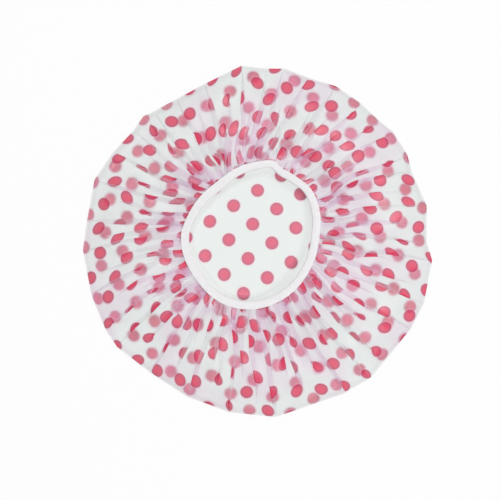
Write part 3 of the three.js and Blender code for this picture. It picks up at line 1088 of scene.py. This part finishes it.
@dataclass
class Elastic:
    """The flat elastic in the binding's fold, with lapped ends held by overcast thread."""

    run: MouthRun
    width: float = 2.2 * MM
    thickness: float = 0.6 * MM
    inner_inset: float = 5.2 * MM
    lap: float = 26 * MM
    lap_centre: float = 0.16
    gap: float = 0.3 * MM
    thread: float = 0.3 * MM
    thread_sides: int = 8
    thread_gap: float = 0.2 * MM
    turns: int = 7
    turn_steps: int = 24
    join_margin: float = 4 * MM
    square: float = 1.3
    steps: int = 380
    steps_across: int = 12
    ribs: int = 4
    rib_rise: float = 0.25
    core_share: float = 0.8

    def build(self) -> bpy.types.Object:
        """Models the strip with its ribs, and lays it round in one turn and a lap.

        Returns:
            The elastic.
        """
        length = self.run.length + self.lap
        middle = (length / 2, self.inner_inset - self.width / 2, 0)
        piece = start_strip(
            "ribbed_elastic", (self.steps, self.steps_across), (length, self.width), middle)
        set_run(piece, lambda spots: spots[:, 1])
        core = self.thickness * self.core_share
        apply_modifier(piece, "SOLIDIFY", {"thickness": core, "offset": 0.0})
        spots = vertices_of(piece)
        across = (spots[:, 1] - self.inner_inset) / self.width * self.ribs
        relief = np.cos(FULL_TURN * across) * 0.5 - 0.5
        spots[:, 2] *= 1 + self.rib_rise * (1 + relief)
        turned = (1 / 2 - spots[:, 0] / length) * length / self.run.length
        spots[:, 2] += (self.thickness + self.gap) * turned
        put_vertices(piece, spots)
        self.run.wrap(piece, self.start())
        settle(piece)
        piece.data.materials.append(
            TwistedYarn("elastic", (240, 236, 228), (205, 200, 190), pitch=0.5, slant=0.0).make())
        return piece

    def start(self) -> float:
        """Where the elastic's first end lies along the mouth."""
        middle = np.interp(FULL_TURN * self.lap_centre, self.run.angles, self.run.lengths)
        return float(middle) - self.lap / 2

    def build_join(self) -> bpy.types.Object:
        """Models the overcast thread as a screw, pressed flat round both layers.

        Returns:
            The thread.
        """
        span = self.lap - 2 * self.join_margin
        reach = self.thread_gap + self.thread / 2
        half_width, half_height = self.width / 2 + reach, self.thickness + self.gap / 2 + reach
        bpy.ops.object.select_all(action="DESELECT")
        bpy.ops.mesh.primitive_circle_add(
            vertices=self.thread_sides, radius=self.thread / 2, location=(0, half_width, 0))
        piece = bpy.context.object
        piece.name = "overcast_thread"
        bpy.ops.object.transform_apply(location=True, rotation=False, scale=False)
        settings = {"axis": "X", "angle": FULL_TURN, "screw_offset": span / self.turns}
        settings.update({"iterations": self.turns, "steps": self.turn_steps})
        settings["render_steps"] = self.turn_steps
        apply_modifier(piece, "SCREW", settings)
        with editing(select_all=True):
            bpy.ops.mesh.fill_holes(sides=0)
            bpy.ops.mesh.normals_make_consistent(inside=False)
        spots = vertices_of(piece)
        angle = np.arctan2(spots[:, 2], spots[:, 1])
        out = np.hypot(spots[:, 1], spots[:, 2]) - half_width
        set_run(piece, lambda places: np.unwrap(angle) * half_width)
        wide = half_width * np.clip(np.cos(angle) * self.square, -1, 1) + out * np.cos(angle)
        tall = half_height * np.clip(np.sin(angle) * self.square, -1, 1) + out * np.sin(angle)
        middle = self.inner_inset - self.width / 2
        put_vertices(piece, np.column_stack([spots[:, 0], middle + wide, tall]))
        self.run.wrap(piece, self.start() + self.join_margin)
        settle(piece)
        piece.data.materials.append(
            TwistedYarn("thread", (250, 250, 250), (214, 216, 220), pitch=0.32, slant=1.2).make())
        return piece


@dataclass
class Sewing:
    """A row of lockstitches through both legs of the binding, seen on one face."""

    run: MouthRun
    seam: Seam
    margin: float = 0.95 * MM
    face: float = 2.0 * MM
    thread: float = 0.3 * MM
    thread_sides: int = 6
    stitch: float = 2.5 * MM
    dip: float = 0.32 * MM
    rises: tuple[tuple[float, float], ...] = (
        (0.08, 0.55), (0.1, 0.35), (0.16, 0.1), (0.32, 0.0),
        (0.16, -0.1), (0.1, -0.35), (0.08, -0.55),
    )
    merge: float = 0.02 * MM
    wander: tuple[int, int, int, float] = (40, 6, 40, 0.0)
    wander_width: float = 0.06 * MM

    def build(self) -> bpy.types.Object:
        """Models one stitch, repeats it in a row and lays the row round the mouth.

        Returns:
            The row of stitches.
        """
        count = round(self.run.length / self.stitch)
        pitch = self.run.length / count
        low = self.face + self.thread / 2 - self.dip
        bpy.ops.object.select_all(action="DESELECT")
        bpy.ops.mesh.primitive_circle_add(
            vertices=self.thread_sides, radius=self.thread / 2, location=(0, 0, 0),
            rotation=(0, QUARTER_TURN, 0))
        piece = bpy.context.object
        piece.name = f"{self.seam.name.lower()}_stitches"
        bpy.ops.object.transform_apply(location=False, rotation=True, scale=False)
        with editing(select_all=True):
            for along, rise in self.rises:
                step = (along * pitch, 0, rise * self.dip)
                bpy.ops.mesh.extrude_region_move(TRANSFORM_OT_translate={"value": step})
        settings = {"count": count, "use_relative_offset": False, "use_constant_offset": True}
        settings.update({"constant_offset_displace": (pitch, 0, 0), "use_merge_vertices": True})
        settings["merge_threshold"] = self.merge
        apply_modifier(piece, "ARRAY", settings)
        set_run(piece, lambda spots: np.arctan2(spots[:, 2], spots[:, 1]) * self.thread / 2)
        spots = vertices_of(piece)
        turn = FULL_TURN * spots[:, 0] / self.run.length
        wander = Field(*self.wander).at(turn, np.array(0.0))
        spots[:, 1] += self.margin + self.wander_width * wander
        spots[:, 2] = self.seam.value * (spots[:, 2] + low)
        put_vertices(piece, spots)
        self.run.wrap(piece)
        settle(piece, self.merge)
        piece.data.materials.append(bpy.data.materials["thread"])
        return piece


class Socket:
    """A shader socket that can be used in plain sums."""

    def __init__(self, tree: "Nodes", link: bpy.types.NodeSocket) -> None:
        """Holds the socket and the tree that it is in."""
        self.tree = tree
        self.link = link

    def math(
        self,
        operation: str,
        other: "Socket | float | None" = None,
        flip: bool = False,
    ) -> "Socket":
        """Adds one Math node.

        Args:
            operation: The node's operation.
            other: The second value, if it takes one.
            flip: Whether the other value comes first.

        Returns:
            The node's result.
        """
        values = [self] if other is None else [self, other]
        if flip:
            values.reverse()
        return self.tree.add("ShaderNodeMath", {"operation": operation}, dict(enumerate(values)))

    def __add__(self, other: "Socket | float") -> "Socket":
        """self + other."""
        return self.math("ADD", other)

    __radd__ = __add__

    def __sub__(self, other: "Socket | float") -> "Socket":
        """self - other."""
        return self.math("SUBTRACT", other)

    def __rsub__(self, other: float) -> "Socket":
        """other - self."""
        return self.math("SUBTRACT", other, flip=True)

    def __mul__(self, other: "Socket | float") -> "Socket":
        """self * other."""
        return self.math("MULTIPLY", other)

    __rmul__ = __mul__

    def __truediv__(self, other: "Socket | float") -> "Socket":
        """self / other."""
        return self.math("DIVIDE", other)

    def step(self, low: float, high: float) -> "Socket":
        """Rises smoothly from 0 at low to 1 at high.

        Args:
            low: Where the rise starts.
            high: Where it ends.

        Returns:
            The share.
        """
        settings = {"interpolation_type": "SMOOTHSTEP"}
        inputs = {"Value": self, "From Min": low, "From Max": high}
        return self.tree.add("ShaderNodeMapRange", settings, inputs)


class Nodes:
    """A material's node tree, with one method that adds any node."""

    def __init__(self, owner: "bpy.types.Material | bpy.types.World") -> None:
        """Starts an empty tree in a material or a world."""
        self.owner = owner
        self.owner.use_nodes = True
        self.tree = self.owner.node_tree
        self.tree.nodes.clear()

    @classmethod
    def of_material(cls, name: str) -> "Nodes":
        """Starts a new material of this name."""
        return cls(bpy.data.materials.new(name))

    def add(
        self,
        kind: str,
        settings: dict | None = None,
        inputs: dict | None = None,
        output: int | str = 0,
    ) -> Socket:
        """Adds a node.

        Args:
            kind: The node's type.
            settings: Its own settings, which are set first.
            inputs: Values or sockets for its inputs, by name or number.
            output: Which output is wanted.

        Returns:
            That output.
        """
        node = self.tree.nodes.new(kind)
        for name, value in (settings or {}).items():
            setattr(node, name, value)
        for key, value in (inputs or {}).items():
            if isinstance(value, Socket):
                self.tree.links.new(value.link, node.inputs[key])
            else:
                node.inputs[key].default_value = value
        return Socket(self, node.outputs[output])

    def mix(self, share: "Socket", first: "Socket | tuple", second: "Socket | tuple") -> Socket:
        """Mixes two colours.

        Args:
            share: How much of the second there is.
            first: The first colour.
            second: The second colour.

        Returns:
            The mixed colour.
        """
        return self.add("ShaderNodeMix", {"data_type": "RGBA"}, {0: share, 6: first, 7: second}, 2)

    def blend(self, share: "Socket | float", first: Socket, second: Socket) -> Socket:
        """Mixes two shaders, with this share of the second."""
        return self.add("ShaderNodeMixShader", {}, {0: share, 1: first, 2: second})

    def noise(self, place: Socket, scale: float, detail: float) -> Socket:
        """Adds soft noise of about 0 to 1, read at a place."""
        inputs = {"Vector": place, "Scale": scale, "Detail": detail}
        return self.add("ShaderNodeTexNoise", {}, inputs)

    def mark(self, name: str) -> Socket:
        """Reads one of the mesh's own numbers."""
        return self.add("ShaderNodeAttribute", {"attribute_name": name}, {}, "Fac")

    def ray(self, kind: str) -> Socket:
        """Tells whether a ray is of this kind, such as Camera or Shadow."""
        return self.add("ShaderNodeLightPath", {}, {}, f"Is {kind} Ray")

    def parts(self, vector: Socket) -> tuple[Socket, Socket]:
        """Splits a vector and gives its x and y."""
        x = self.add("ShaderNodeSeparateXYZ", {}, {0: vector})
        return x, Socket(self, x.link.node.outputs[1])

    def bump(self, strength: float, distance: float, height: Socket) -> Socket:
        """Turns a height into a normal."""
        inputs = {"Strength": strength, "Distance": distance, "Height": height}
        return self.add("ShaderNodeBump", {}, inputs)

    def finish(self, shader: Socket) -> bpy.types.Material:
        """Sends a shader to the material's output, and gives the material."""
        self.add_output(shader, "ShaderNodeOutputMaterial")
        return self.owner

    def add_output(self, shader: Socket, kind: str) -> None:
        """Links a shader to a new output node of this kind."""
        node = self.tree.nodes.new(kind)
        self.tree.links.new(shader.link, node.inputs["Surface"])


def linear(red: int, green: int, blue: int) -> tuple[float, float, float, float]:
    """Turns a screen colour of 0 to 255 into the linear colour that shaders use.

    Args:
        red: The red part.
        green: The green part.
        blue: The blue part.

    Returns:
        The linear colour, with a full fourth part.
    """
    values = []
    for value in (red, green, blue):
        share = value / 255
        values.append(share / 12.92 if share <= 0.04045 else ((share + 0.055) / 1.055) ** 2.4)
    return (values[0], values[1], values[2], 1.0)


@dataclass(frozen=True)
class FilmMasks:
    """Where each part of the film's finish shows, as shares from 0 to 1."""

    ink: Socket
    rim: Socket
    worn: Socket
    halo: Socket
    inside: Socket
    crease_and_highlight: Socket
    tucked: Socket
    mottle: Socket
    side: Socket
    veil_and_painted_shade: Socket


@dataclass(frozen=True)
class PrintedFilm:
    """Frosted film with a staggered print of round dots on its outer side.

    Lengths are in millimetres on the flat cut. A clear share is how much of the light goes
    through a place, and the veils are milky lilac stretches of the near side. They lie at
    random, but shifted so that the left side stays pale, which is painted light from the left,
    and they thicken near the binding as painted shade of the crowded gathers.
    """

    first_dot: tuple[float, float]
    next_dot: tuple[float, float]
    row_dot: tuple[float, float]
    dot_radius: float = 5.5
    dot_edge: float = 0.2
    rim_band: tuple[float, float] = (0.5, 0.15)
    rim_share: float = 0.6
    rim_loss_inside: float = 0.3
    worn_band: tuple[float, float] = (0.4, 0.3)
    worn_share: float = 0.9
    halo_band: tuple[float, float] = (0.2, 1.5)
    pale_inside: float = 0.11
    mottle: tuple[float, float] = (0.45, 4.0)
    mottle_in_ink: float = 0.14
    mottle_in_film: float = 0.05
    grain: tuple[float, float] = (2.6, 3.0)
    grain_strength: float = 0.12
    grain_depth: float = 0.00004
    cloud: tuple[float, float] = (0.022, 2.0)
    cloudiness: float = 0.2
    # The veil is milky lilac at random, shifted so that the left side stays pale as painted light
    # from the left, and laid on near the binding as painted shade.
    veil_and_painted_shade: tuple[float, float] = (0.017, 1.5)
    veil_shift_for_painted_light: tuple[float, float, float] = (0.0, 170.0, 0.0)
    veil_and_painted_shade_band: tuple[float, float] = (0.4, 0.62)
    hem_painted_shade: float = 0.6
    hem_painted_shade_band: tuple[float, float] = (195.0, 235.0)
    side_band: tuple[float, float] = (140.0, 165.0)
    # The creases' white is partly whitened creased film and partly a painted highlight along the
    # folds.
    crease_and_highlight_band: tuple[float, float] = (0.25, 0.9)
    tucked_band: tuple[float, float] = (0.1, 0.9)
    ink: tuple[int, int, int] = (235, 62, 102)
    ink_edge: tuple[int, int, int] = (188, 74, 112)
    ink_rim: tuple[int, int, int] = (138, 34, 70)
    halo: tuple[int, int, int] = (255, 186, 202)
    haze: tuple[int, int, int] = (242, 200, 234)
    # The pale film where no veil lies, which on the left side is painted light.
    pale_haze_and_painted_light: tuple[int, int, int] = (238, 253, 249)
    crown_haze: tuple[int, int, int] = (226, 237, 232)
    # White of the creases: partly whitened creased film, partly a painted highlight.
    crease_white_and_highlight: tuple[int, int, int] = (240, 241, 244)
    clear_share: float = 0.79
    side_clear_share: float = 0.88
    veil_and_painted_shade_clear_share: float = 0.76
    ink_clear_share: float = 0.1
    halo_clear_share: float = 0.45
    crease_and_highlight_clear_share: float = 0.45
    tucked_clear_share: float = 0.93
    light_share: float = 0.96
    ink_light_share: float = 0.5
    roughness: float = 0.36
    specular: float = 0.35
    glow_share: float = 0.25
    crown_tint: tuple[float, float, float, float] = (0.88, 0.908, 0.89, 1.0)
    side_tint: tuple[float, float, float, float] = (0.945, 0.955, 0.957, 1.0)
    pane_tint: tuple[float, float, float, float] = (0.985, 0.98, 0.983, 1.0)
    blur_roughness: float = 0.7
    blur_bend: float = 1.1
    straight_band: tuple[float, float] = (0.3, 0.55)
    gloss_roughness: float = 0.33
    gloss: float = 0.008
    edge_gloss: float = 0.15
    edge_power: float = 3.0

    def make(self) -> bpy.types.Material:
        """Builds the material.

        Returns:
            The material.
        """
        nodes = Nodes.of_material("printed_film")
        uv = nodes.add("ShaderNodeUVMap", {"uv_map": "flat_cut"})
        masks = self.masks(nodes, uv)
        facing = nodes.add("ShaderNodeLayerWeight", {}, {"Blend": 0.5}, "Facing")
        open_ray = nodes.ray("Shadow").math("MAXIMUM", nodes.ray("Diffuse"))
        body = self.body(nodes, uv, masks)
        straight = open_ray.math("MAXIMUM", masks.tucked)
        straight = straight.math("MAXIMUM", masks.inside * facing.step(*self.straight_band))
        pane = nodes.add("ShaderNodeBsdfTransparent", {}, {"Color": self.pane_tint})
        clear = nodes.blend(straight, self.blur(nodes, masks.side), pane)
        cloud = nodes.noise(uv, *self.cloud) - 0.5
        film = nodes.blend(self.clearness(masks, cloud, open_ray), body, clear)
        gloss = nodes.add("ShaderNodeBsdfAnisotropic", {}, {"Roughness": self.gloss_roughness})
        shine = facing.math("POWER", self.edge_power) * self.edge_gloss + self.gloss
        return nodes.finish(nodes.blend(shine, film, gloss))

    def masks(self, nodes: "Nodes", uv: "Socket") -> FilmMasks:
        """Works out where each part of the finish shows.

        Args:
            nodes: The material's nodes.
            uv: The place on the flat cut, in millimetres.

        Returns:
            The masks.
        """
        distance = self.from_dot(nodes, uv)
        radius, edge = self.dot_radius, self.dot_edge
        ink = 1.0 - distance.step(radius - edge, radius + edge)
        near, far = self.halo_band
        halo = (1.0 - distance.step(radius + near, radius + far)) * (1.0 - ink)
        reach = nodes.add("ShaderNodeVectorMath", {"operation": "LENGTH"}, {0: uv}, "Value")
        # The veil's noise is shifted so that the left side stays pale, which is painted light; near
        # the binding the veil is painted shade.
        moved = nodes.add("ShaderNodeVectorMath", {"operation": "ADD"}, {0: uv, 1: self.veil_shift_for_painted_light})
        veil_and_painted_shade = nodes.noise(moved, *self.veil_and_painted_shade).step(*self.veil_and_painted_shade_band)
        veil_and_painted_shade = (veil_and_painted_shade + reach.step(*self.hem_painted_shade_band) * self.hem_painted_shade).math("MINIMUM", 1.0)
        return FilmMasks(
            ink=ink,
            rim=distance.step(radius - self.rim_band[0], radius - self.rim_band[1]),
            worn=distance.step(self.worn_band[0] * radius, radius - self.worn_band[1]),
            halo=halo,
            inside=nodes.add("ShaderNodeNewGeometry", {}, {}, "Backfacing"),
            # The creases' white: partly whitened film, partly a painted highlight.
            crease_and_highlight=nodes.mark("crease_and_highlight").step(*self.crease_and_highlight_band) * (1.0 - ink),
            tucked=nodes.mark("tucked").step(*self.tucked_band),
            mottle=nodes.noise(uv, *self.mottle) - 0.5,
            side=reach.step(*self.side_band),
            veil_and_painted_shade=veil_and_painted_shade,
        )

    def body(self, nodes: "Nodes", uv: "Socket", masks: FilmMasks) -> "Socket":
        """Makes the milky film and the ink, lit from the front and glowing from behind.

        Args:
            nodes: The material's nodes.
            uv: The place on the flat cut, in millimetres.
            masks: Where each part shows.

        Returns:
            The shader.
        """
        haze = linear(*self.haze)
        ink = nodes.mix(masks.worn * self.worn_share, linear(*self.ink), linear(*self.ink_edge))
        rim = masks.rim * (self.rim_share - masks.inside * self.rim_loss_inside)
        ink = nodes.mix(rim, ink, linear(*self.ink_rim))
        pale = masks.inside * self.pale_inside + masks.mottle * self.mottle_in_ink
        ink = nodes.mix(pale, ink, haze)
        # Pale film where the veil is thin, painted light on the left; lilac haze under the veil,
        # painted shade near the binding.
        film = nodes.mix(masks.veil_and_painted_shade, linear(*self.pale_haze_and_painted_light), haze)
        film = nodes.mix(masks.side, linear(*self.crown_haze), film)
        # Creases are lightened: partly whitened film, partly a painted highlight along the folds.
        film = nodes.mix(masks.crease_and_highlight, film, linear(*self.crease_white_and_highlight))
        film = nodes.mix(masks.halo, film, linear(*self.halo))
        grain = nodes.noise(uv, *self.grain)
        lit = nodes.add("ShaderNodeBsdfPrincipled", {}, {
            "Base Color": nodes.mix(masks.ink, film, ink), "Roughness": self.roughness,
            "Specular IOR Level": self.specular,
            "Normal": nodes.bump(self.grain_strength, self.grain_depth, grain),
        })
        film_glow = nodes.add("ShaderNodeBsdfTranslucent", {}, {"Color": haze})
        ink_glow = nodes.add("ShaderNodeBsdfTranslucent", {}, {"Color": linear(*self.ink)})
        return nodes.blend(self.glow_share, lit, nodes.blend(masks.ink, film_glow, ink_glow))

    def blur(self, nodes: "Nodes", side: "Socket") -> "Socket":
        """Makes the frosted view through the film, clearer on the near side than in the crown.

        Args:
            nodes: The material's nodes.
            side: Where the near side is.

        Returns:
            The shader.
        """
        settings = {"distribution": "BECKMANN"}
        views = []
        for tint in (self.crown_tint, self.side_tint):
            inputs = {"Color": tint, "Roughness": self.blur_roughness, "IOR": self.blur_bend}
            views.append(nodes.add("ShaderNodeBsdfRefraction", settings, inputs))
        return nodes.blend(side, *views)

    def clearness(self, masks: FilmMasks, cloud: "Socket", open_ray: "Socket") -> "Socket":
        """Works out how much of the light goes through.

        Args:
            masks: Where each part shows.
            cloud: Broad uneven milkiness, about 0.
            open_ray: Whether the ray is one that light reaches the table by.

        Returns:
            The share.
        """
        clear, side_clear = self.clear_share, self.side_clear_share
        # The veil makes the film milkier, also where it is painted shade near the binding.
        share = masks.veil_and_painted_shade * (self.veil_and_painted_shade_clear_share - side_clear) + (side_clear - clear)
        share = masks.side * share + clear
        share = share - masks.mottle * self.mottle_in_film + cloud * self.cloudiness
        share = share + masks.tucked * (self.tucked_clear_share - clear)
        share = share + masks.halo * (self.halo_clear_share - clear)
        # Creases are more opaque and white: partly whitened film, partly a painted highlight.
        share = share + masks.crease_and_highlight * (self.crease_and_highlight_clear_share - clear)
        share = share + open_ray * (self.light_share - share)
        ink_share = open_ray * (self.ink_light_share - self.ink_clear_share) + self.ink_clear_share
        return share * (1.0 - masks.ink) + masks.ink * ink_share

    def from_dot(self, nodes: "Nodes", uv: "Socket") -> "Socket":
        """Measures the distance to the nearest dot's middle, in millimetres.

        Args:
            nodes: The material's nodes.
            uv: The place on the flat cut, in millimetres.

        Returns:
            The distance.
        """
        inputs = {0: uv, 1: (*self.first_dot, 0.0)}
        x, y = nodes.parts(nodes.add("ShaderNodeVectorMath", {"operation": "SUBTRACT"}, inputs))
        a, b = self.next_dot, self.row_dot
        area = a[0] * b[1] - a[1] * b[0]
        along = x * (b[1] / area) - y * (b[0] / area)
        over = y * (a[0] / area) - x * (a[1] / area)
        along = along - (along + 0.5).math("FLOOR")
        over = over - (over + 0.5).math("FLOOR")
        left = along * a[0] + over * b[0]
        up = along * a[1] + over * b[1]
        return (left * left + up * up).math("SQRT")


@dataclass(frozen=True)
class KnitTape:
    """Smooth white knitted tape: fine ribs across it, a firm edge and a soft surface."""

    name: str = "binding_tape"
    colour: tuple[int, int, int] = (249, 247, 249)
    shade: tuple[int, int, int] = (224, 225, 228)
    rib_pitch: float = 0.55
    wale_pitch: float = 0.42
    wale_sway: float = 0.8
    knit_shade: float = 0.35
    relief: float = 0.00007
    relief_strength: float = 0.7
    cloud: tuple[float, float] = (0.35, 4.0)
    cloud_shade: float = 0.6
    fuzz: tuple[float, float] = (7.0, 2.0)
    fuzz_share: float = 0.3
    roughness: float = 0.72
    sheen: float = 0.15
    softness: float = 0.25
    soft_reach: float = 0.0015

    def make(self) -> bpy.types.Material:
        """Builds the material.

        Returns:
            The material.
        """
        nodes = Nodes.of_material(self.name)
        uv = nodes.add("ShaderNodeUVMap", {"uv_map": "run"})
        x, y = nodes.parts(uv)
        ribs = (x * (FULL_TURN / self.rib_pitch)).math("SINE")
        wales = (y * (FULL_TURN / self.wale_pitch) + ribs * self.wale_sway).math("SINE")
        knit = (ribs * wales) * 0.5 + 0.5
        fuzz = nodes.noise(uv, *self.fuzz) * self.fuzz_share
        cloud = (nodes.noise(uv, *self.cloud) - 0.5) * self.cloud_shade
        shade = ((1.0 - knit) * self.knit_shade + cloud).math("MAXIMUM", 0.0)
        colour = nodes.mix(shade, linear(*self.colour), linear(*self.shade))
        height = knit * (1.0 - self.fuzz_share) + fuzz
        bump = nodes.bump(self.relief_strength, self.relief, height)
        surface = nodes.add("ShaderNodeBsdfPrincipled", {}, {
            "Base Color": colour, "Roughness": self.roughness, "Sheen Weight": self.sheen,
            "Normal": bump, "Subsurface Weight": self.softness, "Subsurface Scale": self.soft_reach,
            "Subsurface Radius": (1.0, 1.0, 1.0),
        })
        return nodes.finish(surface)


@dataclass(frozen=True)
class TwistedYarn:
    """Thread or covered rubber: fine strands that run round at a slant, sizes in millimetres."""

    name: str
    colour: tuple[int, int, int]
    shade: tuple[int, int, int]
    pitch: float
    slant: float
    relief: float = 0.00005
    relief_strength: float = 0.6
    fuzz: tuple[float, float] = (9.0, 2.0)
    fuzz_share: float = 0.2
    roughness: float = 0.6
    sheen: float = 0.1

    def make(self) -> bpy.types.Material:
        """Builds the material.

        Returns:
            The material.
        """
        nodes = Nodes.of_material(self.name)
        uv = nodes.add("ShaderNodeUVMap", {"uv_map": "run"})
        x, y = nodes.parts(uv)
        strands = ((x + y * self.slant) * (FULL_TURN / self.pitch)).math("SINE") * 0.5 + 0.5
        fuzz = nodes.noise(uv, *self.fuzz) * self.fuzz_share
        share = strands * (1.0 - self.fuzz_share) + fuzz
        surface = nodes.add("ShaderNodeBsdfPrincipled", {}, {
            "Base Color": nodes.mix(share, linear(*self.shade), linear(*self.colour)),
            "Roughness": self.roughness, "Sheen Weight": self.sheen,
            "Normal": nodes.bump(self.relief_strength, self.relief, strands),
        })
        return nodes.finish(surface)


@dataclass
class Studio:
    """A plain white table, soft lamps and the camera over the cap."""

    camera_height: float = 1.5
    sensor_width: float = 36.0
    floor_size: float = 6.0
    floor_drop: float = 0.0002
    table_lit: tuple[float, float, float, float] = (0.85, 0.883, 0.868, 1.0)
    table_through_film: tuple[float, float, float, float] = (0.89, 0.975, 0.93, 1.0)
    white: tuple[float, float, float, float] = (1.0, 1.0, 1.0, 1.0)
    seen_white: float = 0.93
    film_white: float = 0.15
    air_strength: float = 0.38
    lamp_power: float = 12.5
    lamp_size: tuple[float, float] = (0.3, 0.26)
    soft_boxes: tuple[tuple[str, tuple[float, float, float], float], ...] = (
        ("right_box", (0.5, -0.33, 1.27), 0.57),
        ("far_box", (0.06, 0.56, 1.25), 0.43),
    )

    def build(self) -> None:
        """Makes the table, the lamps, the world and the camera."""
        self.table()
        self.lamps()
        self.camera()

    def table(self) -> None:
        """Makes the white table."""
        bpy.ops.object.select_all(action="DESELECT")
        bpy.ops.mesh.primitive_plane_add(size=self.floor_size, location=(0, 0, -self.floor_drop))
        floor = bpy.context.object
        floor.name = "table"
        nodes = Nodes.of_material("table_white")
        lit = nodes.add("ShaderNodeBsdfDiffuse", {}, {"Color": self.table_lit})
        white = nodes.add("ShaderNodeEmission", {}, {"Color": self.white, "Strength": 1.0})
        cool = {"Color": self.table_through_film, "Strength": 1.0}
        seen = nodes.ray("Camera").math("MAXIMUM", nodes.ray("Glossy")) * self.seen_white
        table = nodes.blend(seen, lit, white)
        through = nodes.ray("Transmission") * self.film_white
        table = nodes.blend(through, table, nodes.add("ShaderNodeEmission", {}, cool))
        floor.data.materials.append(nodes.finish(table))

    def lamps(self) -> None:
        """Makes the soft lamps and the pale world."""
        world = bpy.data.worlds.new("studio_air")
        bpy.context.scene.world = world
        nodes = Nodes(world)
        skies = []
        for strength in (self.air_strength, 1.0):
            inputs = {"Color": self.white, "Strength": strength}
            skies.append(nodes.add("ShaderNodeBackground", {}, inputs))
        seen = nodes.ray("Camera").math("MAXIMUM", nodes.ray("Glossy"))
        seen = seen.math("MAXIMUM", nodes.ray("Transmission"))
        nodes.add_output(nodes.blend(seen, *skies), "ShaderNodeOutputWorld")
        for name, place, share in self.soft_boxes:
            data = bpy.data.lights.new(name, "AREA")
            data.shape = "RECTANGLE"
            data.size, data.size_y = self.lamp_size
            data.energy = self.lamp_power * share
            lamp = bpy.data.objects.new(name, data)
            lamp.location = place
            lamp.rotation_euler = (-Vector(place)).to_track_quat("-Z", "Y").to_euler()
            bpy.context.collection.objects.link(lamp)

    def camera(self) -> None:
        """Puts the camera straight over the cap, framed as in the photograph."""
        data = bpy.data.cameras.new("camera")
        camera = bpy.data.objects.new("camera", data)
        middle_px = PHOTO_WIDTH_PX / 2
        x = (middle_px - CAP_CENTRE_PX[0]) * PHOTO_MM_PER_PX * MM
        y = (CAP_CENTRE_PX[1] - middle_px) * PHOTO_MM_PER_PX * MM
        camera.location = (x, y, self.camera_height)
        data.sensor_width = self.sensor_width
        data.lens = data.sensor_width * self.camera_height / (PHOTO_WIDTH_PX * PHOTO_MM_PER_PX * MM)
        bpy.context.collection.objects.link(camera)
        bpy.context.scene.camera = camera


def photo_place(pixel: tuple[float, float]) -> tuple[float, float]:
    """Turns a pixel of the photograph into millimetres on the table.

    Args:
        pixel: Its x and y from the photograph's upper left corner.

    Returns:
        Its x and y from the cap's centre.
    """
    return (
        (pixel[0] - CAP_CENTRE_PX[0]) * PHOTO_MM_PER_PX,
        (CAP_CENTRE_PX[1] - pixel[1]) * PHOTO_MM_PER_PX,
    )


def main() -> None:
    """Builds the cap and the studio."""
    logging.basicConfig(level=logging.INFO)
    bpy.context.scene.view_settings.view_transform = "Standard"
    Studio().build()
    film_low, film_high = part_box("cap_film")
    hem_low, hem_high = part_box("hem_binding")
    corners = tuple(FULL_TURN * corner[0] for corner in CORNER_SHARES)
    rim = FoldedOutline(tuple(corner[1] for corner in CORNER_SHARES), 1.0, angles=corners)
    rim = rim.fitted(film_low, film_high)
    mouth = ClosedCurve(MOUTH_SHARES, 1.0).fitted(hem_low, hem_high)
    mouth = replace(mouth, bumps=MOUTH_BUMPS)
    sheet, cut_radius = Film(rim, mouth).build()
    printed = PrintedFilm(
        photo_place(PRINTED_DOT_PX), tuple(step * PHOTO_MM_PER_PX for step in DOT_STEP_PX),
        tuple(step * PHOTO_MM_PER_PX for step in ROW_STEP_PX),
    )
    sheet.data.materials.append(printed.make())
    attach(sheet, "root")
    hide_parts("cap_film")
    run = MouthRun(mouth, (hem_low[2] + hem_high[2]) / 2)
    elastic = Elastic(run)
    made = {
        "hem_binding": (Binding(run).build(), "binding_tape"),
        "elastic_band": (elastic.build(), "elastic"),
        "elastic_join_thread": (elastic.build_join(), "thread"),
        "needle_thread": (Sewing(run, Seam.NEEDLE).build(), "thread"),
        "bobbin_thread": (Sewing(run, Seam.BOBBIN).build(), "thread"),
    }
    for node, (piece, slot) in made.items():
        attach(piece, "root")
        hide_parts(node)
        LOG.info("%s, %d faces", piece.name, len(piece.data.polygons))
    LOG.info("film cut radius %.1f mm, %d faces", cut_radius / MM, len(sheet.data.polygons))


if __name__ == "__main__":
    main()
